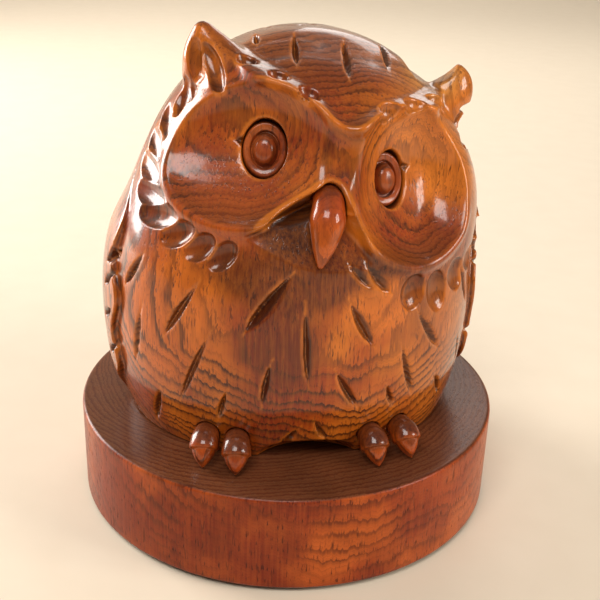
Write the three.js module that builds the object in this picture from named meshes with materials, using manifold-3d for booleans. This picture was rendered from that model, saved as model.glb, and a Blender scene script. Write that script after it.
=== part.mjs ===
// Carved wooden owl on a turned log-slice base. Millimetres, +Z up, the owl looks along -Y.
// The owl is one carved block; eyes, beak and toes are let into it, and it is pegged and
// screwed to the base from below.
import * as THREE from 'three';
import { mergeVertices } from 'three/addons/utils/BufferGeometryUtils.js';
import Module from 'manifold-3d';

const wasm = await Module();
wasm.setup();
const { Manifold } = wasm;

// ---------- driving dimensions ----------
const GAP = 0.3; // clearance between pieces that touch
const FELT_RADIUS = 11;
const FELT_THICKNESS = 1.5;
const FELT_CIRCLE = 62; // distance of each pad from the axis
const BASE_RADIUS = 82.5;
const BASE_THICKNESS = 37;
const BASE_EDGE = 1.2; // small round on the base's rims
const BELLY_RADII = new THREE.Vector3(70, 62, 84);
const BELLY_HEIGHT = 44; // belly centre above the owl's foot
const BELLY_FLARE = 0.055; // how much wider the belly gets towards the foot
const HEAD_RADII = new THREE.Vector3(50.5, 53, 43.7);
const HEAD_CENTRE = new THREE.Vector3(2.4, 0, 9); // from the neck pivot, in the tilted head
const CHEEK_RADII = new THREE.Vector3(26, 40, 34);
const CHEEK_CENTRE = new THREE.Vector3(40, -2, -4);
const CHEEK_BLEND = 10;
const NECK = new THREE.Vector3(2.5, 0, 90); // pivot of the tilted head
const HEAD_TILT = THREE.MathUtils.degToRad(12);
const HEAD_CORE = 5; // height of the head's core above the neck pivot
const BLEND = 24; // how softly head and belly run together
const WING_RAISE = 2.5; // how far the folded wings stand out of the body
const WING_FRONT = 74; // degrees from the front to each wing's edge
const EYE_WIDTH = 0.78; // the eyes are upright ovals
const EYE_RADIUS = 10.2;
const EYE_DEPTH = 5; // plug length behind the ring
const EYE_SINK = 3.2; // how far the ring lies below the facial disc
const BEAK_RADIUS = 5.2;
const TOE_RADIUS = 5;
const DISC_REACH = 42.4; // from the head's core to the bottom of each facial disc
const DISC_CURVE = 78;
const DISC_RISE = 57;
const DISC_ACROSS = { [-1]: 112, 1: 84 };
const DOWEL_RADIUS = 4;
const DOWEL_REACH = 10; // into the base and into the owl, each
const DOWEL_SPREAD = 30;
const SCREW_SPREAD = 24;
const SCREW_RADIUS = 2.2;
const SCREW_HEAD_RADIUS = 4.4;
const SCREW_LENGTH = 45;
const SCREW_SINK = 10; // depth of the counterbore under the base

const BASE_BOTTOM = FELT_THICKNESS + GAP;
const BASE_TOP = BASE_BOTTOM + BASE_THICKNESS;
const OWL_FOOT = BASE_TOP + GAP;
const UP = new THREE.Vector3(0, 0, 1);
const BACK = new THREE.Vector3(0, 1, 0);

// ---------- solids ----------
// A three.js geometry as a manifold-3d solid.
function solid(geometry) {
  const bare = new THREE.BufferGeometry();
  const flat = geometry.index ? geometry.toNonIndexed() : geometry;
  bare.setAttribute('position', flat.getAttribute('position'));
  const merged = mergeVertices(bare, 1e-4);
  return new Manifold(new wasm.Mesh({
    numProp: 3,
    vertProperties: merged.attributes.position.array,
    triVerts: new Uint32Array(merged.index.array),
  }));
}

// A manifold-3d solid as a three.js geometry.
function geometryOf(manifold) {
  const mesh = manifold.getMesh();
  const geometry = new THREE.BufferGeometry();
  geometry.setAttribute('position', new THREE.BufferAttribute(mesh.vertProperties, 3));
  geometry.setIndex(new THREE.BufferAttribute(mesh.triVerts, 1));
  geometry.computeVertexNormals();
  return geometry;
}

// A solid of revolution about +Z from [radius, height] pairs listed from bottom to top.
function turned(profile, segments) {
  const points = profile.map(([radius, height]) => new THREE.Vector2(radius, height));
  return new THREE.LatheGeometry(points, segments).rotateX(Math.PI / 2);
}

// The matrix that puts +Z along axis, +X as level as it can be, and the origin at place.
function frameAt(place, axis, scale = new THREE.Vector3(1, 1, 1)) {
  const z = axis.clone().normalize();
  const upright = Math.abs(z.z) > 0.99;
  const x = upright ? new THREE.Vector3(1, 0, 0) : new THREE.Vector3().crossVectors(UP, z).normalize();
  const y = new THREE.Vector3().crossVectors(z, x);
  return new THREE.Matrix4().makeBasis(x, y, z).scale(scale).setPosition(place);
}

// An ellipsoid with its own +Z along axis.
function ellipsoid(place, axis, radii, across = 10, around = 8) {
  const geometry = new THREE.SphereGeometry(1, across, around).rotateX(Math.PI / 2);
  return solid(geometry.applyMatrix4(frameAt(place, axis, radii)));
}

// A round bar from one point to another.
function bar(from, to, radius, segments = 16) {
  const axis = to.clone().sub(from);
  const geometry = new THREE.CylinderGeometry(radius, radius, axis.length(), segments);
  geometry.rotateX(Math.PI / 2).applyMatrix4(frameAt(from.clone().add(to).multiplyScalar(0.5), axis));
  return solid(geometry);
}

// ---------- the owl's outer shape ----------
const tilt = new THREE.Matrix4().makeRotationY(HEAD_TILT);
const untilt = tilt.clone().invert();
const neck = NECK.clone().setZ(NECK.z + OWL_FOOT);

// A place in the tilted head: u across, v back, w up from the neck pivot.
function inHead(u, v, w) {
  return new THREE.Vector3(u, v, w).applyMatrix4(tilt).add(neck);
}

function headDirection(u, v, w) {
  return new THREE.Vector3(u, v, w).applyMatrix4(tilt).normalize();
}

// About the distance from p to an ellipsoid: negative inside.
function ellipsoidField(p, centre, radii) {
  const q = p.clone().sub(centre).divide(radii);
  const reach = q.length();
  const steepness = q.clone().divide(radii).length();
  return reach * (reach - 1) / Math.max(steepness, 1e-9);
}

const bellyCentre = new THREE.Vector3(0, 0, OWL_FOOT + BELLY_HEIGHT);

// The smaller of two distances, run together over a blend width.
function softMin(a, b, blend) {
  const overlap = Math.max(blend - Math.abs(a - b), 0) / blend;
  return Math.min(a, b) - overlap * overlap * blend / 4;
}

function owlField(p) {
  const height = p.z - OWL_FOOT;
  const low = THREE.MathUtils.clamp((BELLY_HEIGHT - height) / BELLY_HEIGHT, 0, 1);
  const flare = 1 + BELLY_FLARE * low * low;
  const slim = new THREE.Vector3(p.x / flare, p.y / flare, p.z);
  const inTheHead = p.clone().sub(neck).applyMatrix4(untilt);
  const belly = ellipsoidField(slim, bellyCentre, BELLY_RADII);
  const head = ellipsoidField(inTheHead, HEAD_CENTRE, HEAD_RADII);
  const cheek = ellipsoidField(inTheHead, CHEEK_CENTRE, CHEEK_RADII);
  const whole = softMin(softMin(belly, head, BLEND), cheek, CHEEK_BLEND);
  const turn = THREE.MathUtils.radToDeg(Math.atan2(Math.abs(p.x), -p.y));
  const along = THREE.MathUtils.smoothstep(turn, WING_FRONT, WING_FRONT + 5);
  const under = THREE.MathUtils.smoothstep(height, 4, 16) - THREE.MathUtils.smoothstep(height, 78, 96);
  return whole - WING_RAISE * along * under;
}

// Where a ray from a point inside leaves the owl.
function surfaceAlong(from, direction) {
  let inside = 0;
  let outside = 120;
  for (let step = 0; step < 24; step += 1) {
    const middle = (inside + outside) / 2;
    const isInside = owlField(from.clone().addScaledVector(direction, middle)) < 0;
    inside = isInside ? middle : inside;
    outside = isInside ? outside : middle;
  }
  return from.clone().addScaledVector(direction, inside);
}

// The surface point at a compass turn (degrees, 0 in front, positive to +X) and a height.
function onOwl(turn, height) {
  const angle = THREE.MathUtils.degToRad(turn);
  const axis = new THREE.Vector3(0, 0, OWL_FOOT + height);
  return surfaceAlong(axis, new THREE.Vector3(Math.sin(angle), -Math.cos(angle), 0));
}

// The surface point above a place (u, v) on the crown of the tilted head.
function onCrown(u, v) {
  return surfaceAlong(inHead(u, v, 0), headDirection(0, 0, 1));
}

function outwardAt(p) {
  const step = 0.5;
  const slope = (axis) => owlField(p.clone().addScaledVector(axis, step))
    - owlField(p.clone().addScaledVector(axis, -step));
  const x = slope(new THREE.Vector3(1, 0, 0));
  const y = slope(BACK);
  const z = slope(UP);
  return new THREE.Vector3(x, y, z).normalize();
}

function owlBlock() {
  const geometry = new THREE.SphereGeometry(1, 54, 34).rotateX(Math.PI / 2);
  const centre = new THREE.Vector3(0, 0, OWL_FOOT + 62);
  const positions = geometry.getAttribute('position');
  const direction = new THREE.Vector3();
  for (let i = 0; i < positions.count; i += 1) {
    direction.fromBufferAttribute(positions, i).normalize();
    const p = surfaceAlong(centre, direction);
    positions.setXYZ(i, p.x, p.y, p.z);
  }
  return solid(geometry);
}

// ---------- carving tools ----------
// A long V-cut from one surface point to another, deepest in the middle.
function gouge(from, to, width, depth) {
  const along = to.clone().sub(from);
  const length = along.length() * 1.15;
  const middle = from.clone().add(to).multiplyScalar(0.5);
  const outward = outwardAt(middle);
  const lift = -owlField(middle);
  const z = along.normalize();
  const x = new THREE.Vector3().crossVectors(outward, z).normalize();
  const y = new THREE.Vector3().crossVectors(z, x);
  const place = middle.addScaledVector(y, lift);
  const profile = [[0, -0.5], [0.7, -0.22], [1, 0.12], [0.6, 0.36], [0, 0.5]];
  const geometry = turned(profile, 4);
  const matrix = new THREE.Matrix4().makeBasis(x, y, z);
  matrix.scale(new THREE.Vector3(width / 2, depth, length)).setPosition(place);
  return solid(geometry.applyMatrix4(matrix));
}

// A thumbnail scoop lying on the surface at p, its long side along direction.
function scoop(p, direction, length, width, depth) {
  const z = outwardAt(p);
  const x = direction.clone().projectOnPlane(z).normalize();
  const y = new THREE.Vector3().crossVectors(z, x);
  const geometry = new THREE.SphereGeometry(1, 8, 6).rotateX(Math.PI / 2);
  const matrix = new THREE.Matrix4().makeBasis(x, y, z);
  matrix.scale(new THREE.Vector3(length / 2, width / 2, depth)).setPosition(p);
  return solid(geometry.applyMatrix4(matrix));
}

// The axis of each facial disc, from inside the head, on the side given by the sign.
function discAxis(side) {
  return headDirection(0.6 * side, -0.79, 0.13);
}

// The direction each facial disc faces.
function discFacing(side) {
  return headDirection(0.5 * side, -0.76, 0.36);
}

// A wide shallow dish cut into the face round each eye: the end of a long ellipsoid.
function facialDisc(side) {
  const facing = discFacing(side);
  const bottom = inHead(0, 0, HEAD_CORE).addScaledVector(discAxis(side), DISC_REACH);
  const steps = 7;
  const widest = 0.95;
  const profile = [[0, 0]];
  for (let step = 1; step <= steps; step += 1) {
    const angle = step / steps * widest;
    profile.push([Math.sin(angle), 1 - Math.cos(angle)]);
  }
  profile.push([Math.sin(widest), 0.8], [0, 0.8]);
  const radii = new THREE.Vector3(DISC_ACROSS[side], DISC_RISE, DISC_CURVE);
  return solid(turned(profile, 24).applyMatrix4(frameAt(bottom, facing, radii)));
}

// The head's surface at an angle round a disc's axis and an angle apart from it, in degrees.
function onFace(side, around, apart) {
  const axis = discAxis(side);
  const level = new THREE.Vector3().crossVectors(UP, axis).normalize();
  const rise = new THREE.Vector3().crossVectors(axis, level);
  const turn = THREE.MathUtils.degToRad(around);
  const open = THREE.MathUtils.degToRad(apart);
  const away = level.multiplyScalar(Math.cos(turn) * side).addScaledVector(rise, Math.sin(turn));
  const direction = axis.multiplyScalar(Math.cos(open)).addScaledVector(away, Math.sin(open));
  return surfaceAlong(inHead(0, 0, HEAD_CORE), direction);
}

// Where the line from the head's core through a place in the head leaves the wood.
function towardHead(u, v, w) {
  const core = inHead(0, 0, HEAD_CORE);
  return surfaceAlong(core, inHead(u, v, w).sub(core).normalize());
}

// A thumbnail cut from one surface point to another.
function thumbCut(from, to, width, depth) {
  const middle = from.clone().add(to).multiplyScalar(0.5);
  const along = to.clone().sub(from);
  const onSurface = middle.addScaledVector(outwardAt(middle), -owlField(middle));
  return scoop(onSurface, along, along.length() + 1.6, width, depth);
}

// Leaves of the ruff on each side: angle round the disc and angle apart from its axis, at the
// outer and then the inner end, and the width.
const RUFF = {
  [-1]: [[35, 42, 32, 34, 5.5], [36, 45, 18, 36, 7], [20, 51, 2, 36, 7], [6, 53, -13, 35, 7.5],
    [-5, 54, -26, 33, 8], [-19, 50, -39, 31, 8], [-31, 46, -52, 29, 8.5], [-52, 38, -66, 27, 7.5],
    [-69, 35, -83, 27, 7.5], [-84, 35, -98, 28, 7]],
  1: [[26, 47, 14, 38, 6], [12, 49, 0, 38, 7], [-2, 49, -14, 38, 8], [-15, 49, -26, 37, 8],
    [-27, 49, -38, 35, 8], [-40, 46, -52, 31, 8.5], [-62, 36, -67, 26, 9.5], [-84, 35, -86, 25, 9.5],
    [-106, 34, -104, 25, 9.5]],
};

function ruff(side) {
  return RUFF[side].map(([outer, outerApart, inner, innerApart, width]) => (
    thumbCut(onFace(side, outer, outerApart), onFace(side, inner, innerApart), width, 2)));
}

// The hollow under the brow-like arch, behind the beak, running out to a point on each side.
function beakHollow() {
  const deep = ellipsoid(inHead(0.5, -57, -2), UP, new THREE.Vector3(15, 13.5, 11.5), 18, 12);
  const wide = ellipsoid(inHead(0, -63, -7), UP, new THREE.Vector3(21, 11.5, 14), 18, 12);
  const right = thumbCut(towardHead(-9, -50, 2), towardHead(-27, -51, -12.5), 7.5, 3.4);
  const left = thumbCut(towardHead(9, -50, 2), towardHead(27, -51, -16), 7.5, 3.4);
  return Manifold.union([deep, wide, right, left]);
}

// ---------- pieces let into the owl ----------
// The middle of each eye on its facial disc.
function eyePlace(side) {
  return side < 0 ? inHead(-21.3, -34.6, 14.5) : inHead(22.2, -34.7, 12.8);
}

function eyeAxis(side) {
  return headDirection(0.3 * side, -0.9, 0.3);
}

// The turned plug: a raised ring, a groove and a domed pupil on a plain shank.
function eyePlug(side) {
  const profile = [[0, -EYE_DEPTH], [9.6, -EYE_DEPTH], [9.6, 0], [8.6, 0.9], [6.9, 0.4], [6.1, -0.8],
    [5.3, 0], [4.2, 1.8], [2.4, 2.9], [0, 3.2]];
  const axis = eyeAxis(side);
  const place = eyePlace(side).addScaledVector(axis, -EYE_SINK);
  const oval = new THREE.Vector3(EYE_WIDTH, 1, 1);
  return turned(profile, 28).applyMatrix4(frameAt(place, axis, oval));
}

// The oval socket for the plug, with the nick at the outer corner of the eye.
function eyeSocket(side) {
  const axis = eyeAxis(side);
  const place = eyePlace(side).addScaledVector(axis, -EYE_SINK);
  const profile = [[0, -EYE_DEPTH - GAP], [EYE_RADIUS, -EYE_DEPTH - GAP], [EYE_RADIUS, 16], [0, 16]];
  const oval = new THREE.Vector3(EYE_WIDTH, 1, 1);
  const socket = turned(profile, 28).applyMatrix4(frameAt(place, axis, oval));
  const corner = inHead(30.5 * side, -34, 15.5);
  const nick = ellipsoid(corner, headDirection(side, -0.1, 0.3), new THREE.Vector3(2.4, 2.4, 5), 8, 6);
  return solid(socket).add(nick);
}

const beakTop = inHead(0.6, -49.5, 8);
const beakTip = inHead(0.4, -60.3, -16);

// A drop-shaped beak on a round tenon; grow makes the matching socket.
function beakSolid(grow) {
  const axis = beakTip.clone().sub(beakTop);
  const length = axis.length();
  const wide = BEAK_RADIUS + grow;
  const profile = [[0, -grow], [wide * 0.6, 1.2 - grow], [wide * 0.9, 4.5], [wide, 8.5],
    [wide * 0.92, 12.5], [wide * 0.66, 17.5], [wide * 0.34, length - 4], [0, length + grow]];
  const drop = solid(turned(profile, 20).applyMatrix4(frameAt(beakTop, axis)));
  const root = beakTop.clone().addScaledVector(axis, 0.3);
  const tenonEnd = root.clone().add(new THREE.Vector3(0, 17 + grow, 0));
  return drop.add(bar(root, tenonEnd, 2.6 + grow, 14));
}

// Where the tip of each claw stands.
const TOES = {
  toe_right_outer: [-40, -60],
  toe_right_inner: [-29, -66],
  toe_left_inner: [22, -67],
  toe_left_outer: [35, -63],
};

// A round toe with a pointed claw, on a peg that runs back into the owl.
function toeSolid([x, y], grow) {
  const inward = new THREE.Vector3(-0.35 * x, -y, 0).normalize();
  const tip = new THREE.Vector3(x, y, OWL_FOOT + 1.2);
  const heel = tip.clone().addScaledVector(inward, 8).setZ(OWL_FOOT + 10.7);
  const axis = tip.clone().sub(heel);
  const wide = TOE_RADIUS + grow;
  const length = axis.length();
  const profile = [[0, -4 - grow], [wide * 0.62, -2.8 - grow], [wide * 0.93, 0.5], [wide, 4],
    [wide * 0.94, 5.6], [wide * 0.8, 6.4], [wide * 0.52, length - 3], [0, length + grow]];
  const drop = solid(turned(profile, 14).applyMatrix4(frameAt(heel, axis)));
  const root = heel.clone().addScaledVector(axis, 0.1);
  const pegEnd = root.clone().addScaledVector(inward, 15 + grow);
  return drop.add(bar(root, pegEnd, 2.2 + grow, 12));
}

// ---------- the ears ----------
// Balls along a line, each joined to the next by a taut skin.
function lobe(places, radii) {
  const balls = places.map((place, i) => (
    ellipsoid(place, UP, new THREE.Vector3(1, 1, 1).multiplyScalar(radii[i]), 12, 8)));
  return Manifold.union(balls.slice(1).map((ball, i) => Manifold.hull([balls[i], ball])));
}

function ear(side) {
  if (side > 0) {
    return lobe([inHead(37, -4, 24), inHead(43, -6, 33), inHead(47, -6, 41), inHead(47.5, -6, 45.5),
      inHead(45.5, -6, 49.5)], [9, 8, 6.4, 3.8, 0.9]);
  }
  const outerLine = [inHead(-39, -2, 22), inHead(-42, -5, 29), inHead(-44.5, -6, 36), inHead(-47, -6, 46.2)];
  const innerLine = [inHead(-28, -12, 24), inHead(-35, -8, 32), inHead(-46.6, -6, 45.6)];
  const outer = lobe(outerLine, [7, 7.6, 5.8, 0.8]);
  const inner = lobe(innerLine, [8, 7, 0.9]);
  return outer.add(inner);
}

function earCuts(side) {
  const crownGap = side > 0
    ? ellipsoid(inHead(35.5, 2, 54.5), headDirection(0, 1, 0.1), new THREE.Vector3(11, 11, 34), 14, 10)
    : ellipsoid(inHead(-35.5, 8, 52), headDirection(0, 1, 0.1), new THREE.Vector3(7.5, 10, 26), 14, 10);
  const scoopWidth = side > 0 ? 6 : 8.4;
  const front = thumbCut(towardHead(45.5 * side, -12, 40.5), towardHead(35 * side, -25, 26.5), scoopWidth, 3);
  return crownGap.add(front);
}

// ---------- cut marks ----------
// Feather cuts on the breast and belly: [turn, height] at the top and the foot, and the width.
const BREAST_CUTS = [
  [-62, 71, -70, 56, 4], [-39, 67, -51, 44, 4], [-9, 73, -24, 51, 5.5], [9, 63, 18, 45, 5],
  [-60, 53, -65, 28, 4], [-34, 51, -46, 20, 4], [-5, 63, -3, 31, 4], [34, 55, 46, 36, 4],
  [28, 44, 36, 20, 4], [-15, 42, -18, 23, 4], [5, 38, 14, 21, 4], [-29, 29, -33, 15, 3],
  [-54, 22, -60, 6, 4], [24, 29, 28, 18, 3], [47, 25, 54, 13, 3.5], [58, 66, 66, 46, 4],
];

// Cuts over the crown, as u and the two ends along v in the head.
const CROWN_CUTS = [
  [-28, -1, -11], [-16, -9, -27], [1, -11, -33], [17, 0, -21], [30, -1, -13], [-22, 16, 4],
  [-7, 14, 0], [9, 20, 6], [24, 22, 9],
];

function breastCuts() {
  return BREAST_CUTS.map(([fromTurn, fromHeight, toTurn, toHeight, width]) => (
    gouge(onOwl(fromTurn, fromHeight), onOwl(toTurn, toHeight), width, width * 0.75)));
}

function crownCuts() {
  return CROWN_CUTS.map(([u, fromV, toV]) => gouge(onCrown(u, fromV), onCrown(u, toV), 3.6, 3));
}

// Scallops along the top of each brow.
function browCuts(side) {
  const along = headDirection(1, 0.35 * side, 0.45 * side);
  return [[13, -40, 36.6], [24, -33, 38.6], [35, -21, 40.4]].map(([u, v, w]) => (
    scoop(towardHead(u * side, v, w), along, 11, 8, 2.4)));
}

// The deep line down each wing's front edge and long feather cuts behind it.
function wingCuts(side) {
  const edge = [[78, 88], [73, 66], [73, 42], [75, 20], [70, 5]];
  const cuts = edge.slice(1).map(([turn, height], i) => (
    gouge(onOwl(edge[i][0] * side, edge[i][1]), onOwl(turn * side, height), 5, 4)));
  for (let feather = 0; feather < 4; feather += 1) {
    const turn = 100 + 18 * feather;
    const top = 66 - 6 * feather;
    cuts.push(gouge(onOwl(turn * side, top), onOwl((turn + 9) * side, top - 40), 4, 3));
  }
  return cuts;
}

// Short cuts in staggered rows down the back of the head.
function napeCuts() {
  const cuts = [];
  for (let row = 0; row < 3; row += 1) {
    for (let place = -2; place <= 2; place += 1) {
      const turn = 180 + (place + (row % 2) / 2) * 24;
      const top = 124 - 16 * row;
      cuts.push(gouge(onOwl(turn, top), onOwl(turn, top - 11), 4, 3));
    }
  }
  return cuts;
}

function tail() {
  const root = new THREE.Vector3(0, 52, OWL_FOOT + 30);
  return ellipsoid(root, new THREE.Vector3(0, 0.35, -1), new THREE.Vector3(17, 9, 32), 16, 12);
}

// ---------- fastenings ----------
function screwSolid(x, grow) {
  const foot = BASE_BOTTOM + SCREW_SINK;
  const head = SCREW_HEAD_RADIUS + grow;
  const shank = SCREW_RADIUS + grow;
  const top = foot + SCREW_LENGTH + grow;
  const profile = [[0, foot - grow], [head, foot - grow], [head, foot + 1], [shank, foot + 4],
    [shank, top - 4], [0, top]];
  return solid(turned(profile, 20).translate(x, 0, 0));
}

// A screw with a cross recess in its head.
function screwPiece(x) {
  const slot = (turn) => solid(new THREE.BoxGeometry(5, 1.1, 3).rotateZ(turn)
    .translate(x, 0, BASE_BOTTOM + SCREW_SINK));
  return screwSolid(x, 0).subtract(slot(0)).subtract(slot(Math.PI / 2));
}

function dowelSolid(y, grow) {
  const low = BASE_TOP - DOWEL_REACH - grow;
  const high = OWL_FOOT + DOWEL_REACH + grow;
  const radius = DOWEL_RADIUS + grow;
  const edge = radius - 0.8;
  const profile = [[0, low], [edge, low], [radius, low + 1], [radius, high - 1], [edge, high], [0, high]];
  return solid(turned(profile, 24).translate(0, y, 0));
}

// ---------- the large pieces ----------
function owlBody() {
  let body = owlBlock().add(tail());
  for (const side of [-1, 1]) {
    body = body.add(ear(side));
  }
  const cuts = [beakHollow(), beakSolid(GAP), ...breastCuts(), ...crownCuts(), ...napeCuts()];
  for (const side of [-1, 1]) {
    cuts.push(facialDisc(side), eyeSocket(side), earCuts(side));
    cuts.push(...ruff(side), ...browCuts(side), ...wingCuts(side));
    cuts.push(dowelSolid(DOWEL_SPREAD * side, GAP), screwSolid(SCREW_SPREAD * side, GAP));
  }
  for (const tip of Object.values(TOES)) {
    cuts.push(toeSolid(tip, GAP));
  }
  const floor = new THREE.BoxGeometry(400, 400, 100).translate(0, 0, OWL_FOOT - 50);
  const arch = ellipsoid(new THREE.Vector3(-2, -60, OWL_FOOT), BACK, new THREE.Vector3(20, 8, 16), 16, 10);
  cuts.push(solid(floor), arch);
  const carved = Manifold.difference([body, ...cuts]).decompose();
  return carved.sort((a, b) => b.volume() - a.volume())[0]; // chips cut loose are dropped
}

function baseDisc() {
  const profile = [[0, BASE_BOTTOM], [BASE_RADIUS - BASE_EDGE, BASE_BOTTOM],
    [BASE_RADIUS, BASE_BOTTOM + BASE_EDGE], [BASE_RADIUS, BASE_TOP - BASE_EDGE],
    [BASE_RADIUS - BASE_EDGE, BASE_TOP], [0, BASE_TOP]];
  const cuts = [];
  for (const side of [-1, 1]) {
    const x = SCREW_SPREAD * side;
    const low = new THREE.Vector3(x, 0, 0);
    const sink = new THREE.Vector3(x, 0, BASE_BOTTOM + SCREW_SINK);
    cuts.push(dowelSolid(DOWEL_SPREAD * side, GAP), screwSolid(x, GAP));
    cuts.push(bar(low, sink, SCREW_HEAD_RADIUS + 0.6, 20));
  }
  return Manifold.difference([solid(turned(profile, 72)), ...cuts]);
}

// ---------- assembly ----------
const owlWood = { color: 0xa9531f, roughness: 0.28, metalness: 0 };
const eyeWood = { color: 0x8a3f18, roughness: 0.25, metalness: 0 };
const clawWood = { color: 0xb5652c, roughness: 0.25, metalness: 0 };
const baseWood = { color: 0x7c3c20, roughness: 0.42, metalness: 0 };
const dowelWood = { color: 0xd2ac74, roughness: 0.7, metalness: 0 };
const steel = { color: 0xb9b48f, roughness: 0.35, metalness: 1 };
const felt = { color: 0x2f4a38, roughness: 1, metalness: 0 };

const owl = new THREE.Group();

function addPiece(name, geometry, finish) {
  const mesh = new THREE.Mesh(geometry, new THREE.MeshStandardMaterial(finish));
  mesh.name = name;
  owl.add(mesh);
  return mesh;
}

addPiece('base_disc', geometryOf(baseDisc()), baseWood);
addPiece('owl_body', geometryOf(owlBody()), owlWood);
addPiece('beak', geometryOf(beakSolid(0)), clawWood);
addPiece('eye_right', eyePlug(-1), eyeWood);
addPiece('eye_left', eyePlug(1), eyeWood);

for (const [name, tip] of Object.entries(TOES)) {
  addPiece(name, geometryOf(toeSolid(tip, 0)), clawWood);
}

for (const [end, side] of [['front', -1], ['back', 1]]) {
  addPiece(`dowel_${end}`, geometryOf(dowelSolid(DOWEL_SPREAD * side, 0)), dowelWood);
}

for (const [end, side] of [['right', -1], ['left', 1]]) {
  addPiece(`base_screw_${end}`, geometryOf(screwPiece(SCREW_SPREAD * side)), steel);
}

for (let i = 0; i < 4; i += 1) {
  const turn = Math.PI / 4 + i * Math.PI / 2;
  const pad = new THREE.CylinderGeometry(FELT_RADIUS, FELT_RADIUS, FELT_THICKNESS, 28);
  const mesh = addPiece(`felt_pad_${i + 1}`, pad.rotateX(Math.PI / 2), felt);
  mesh.position.set(FELT_CIRCLE * Math.cos(turn), FELT_CIRCLE * Math.sin(turn), FELT_THICKNESS / 2);
}

export default owl;
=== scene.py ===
# A carved wooden owl on a turned round base. The frame is in metres, +Z up, and the owl looks along -Y.
# The owl is carved as a block of distance values in millimetres, measured from the foot of the owl.
import math

import bpy
import numpy as np
from mathutils import Matrix, Vector


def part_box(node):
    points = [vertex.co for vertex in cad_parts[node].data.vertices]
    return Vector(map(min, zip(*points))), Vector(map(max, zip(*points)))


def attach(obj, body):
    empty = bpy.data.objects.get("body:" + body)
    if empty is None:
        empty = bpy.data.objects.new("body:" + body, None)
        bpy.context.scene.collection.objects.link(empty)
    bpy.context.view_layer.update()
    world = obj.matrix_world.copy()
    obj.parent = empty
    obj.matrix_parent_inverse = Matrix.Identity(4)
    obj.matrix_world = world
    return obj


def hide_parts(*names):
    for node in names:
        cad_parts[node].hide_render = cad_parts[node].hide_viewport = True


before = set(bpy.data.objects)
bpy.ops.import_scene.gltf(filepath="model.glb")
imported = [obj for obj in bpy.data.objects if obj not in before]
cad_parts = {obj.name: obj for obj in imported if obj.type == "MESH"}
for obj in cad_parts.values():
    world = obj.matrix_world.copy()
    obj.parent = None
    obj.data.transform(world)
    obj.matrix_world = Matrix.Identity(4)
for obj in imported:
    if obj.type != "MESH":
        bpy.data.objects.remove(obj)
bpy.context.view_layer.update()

MM = 0.001
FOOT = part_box("owl_body")[0][2] / MM      # height of the owl's foot, in mm

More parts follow.
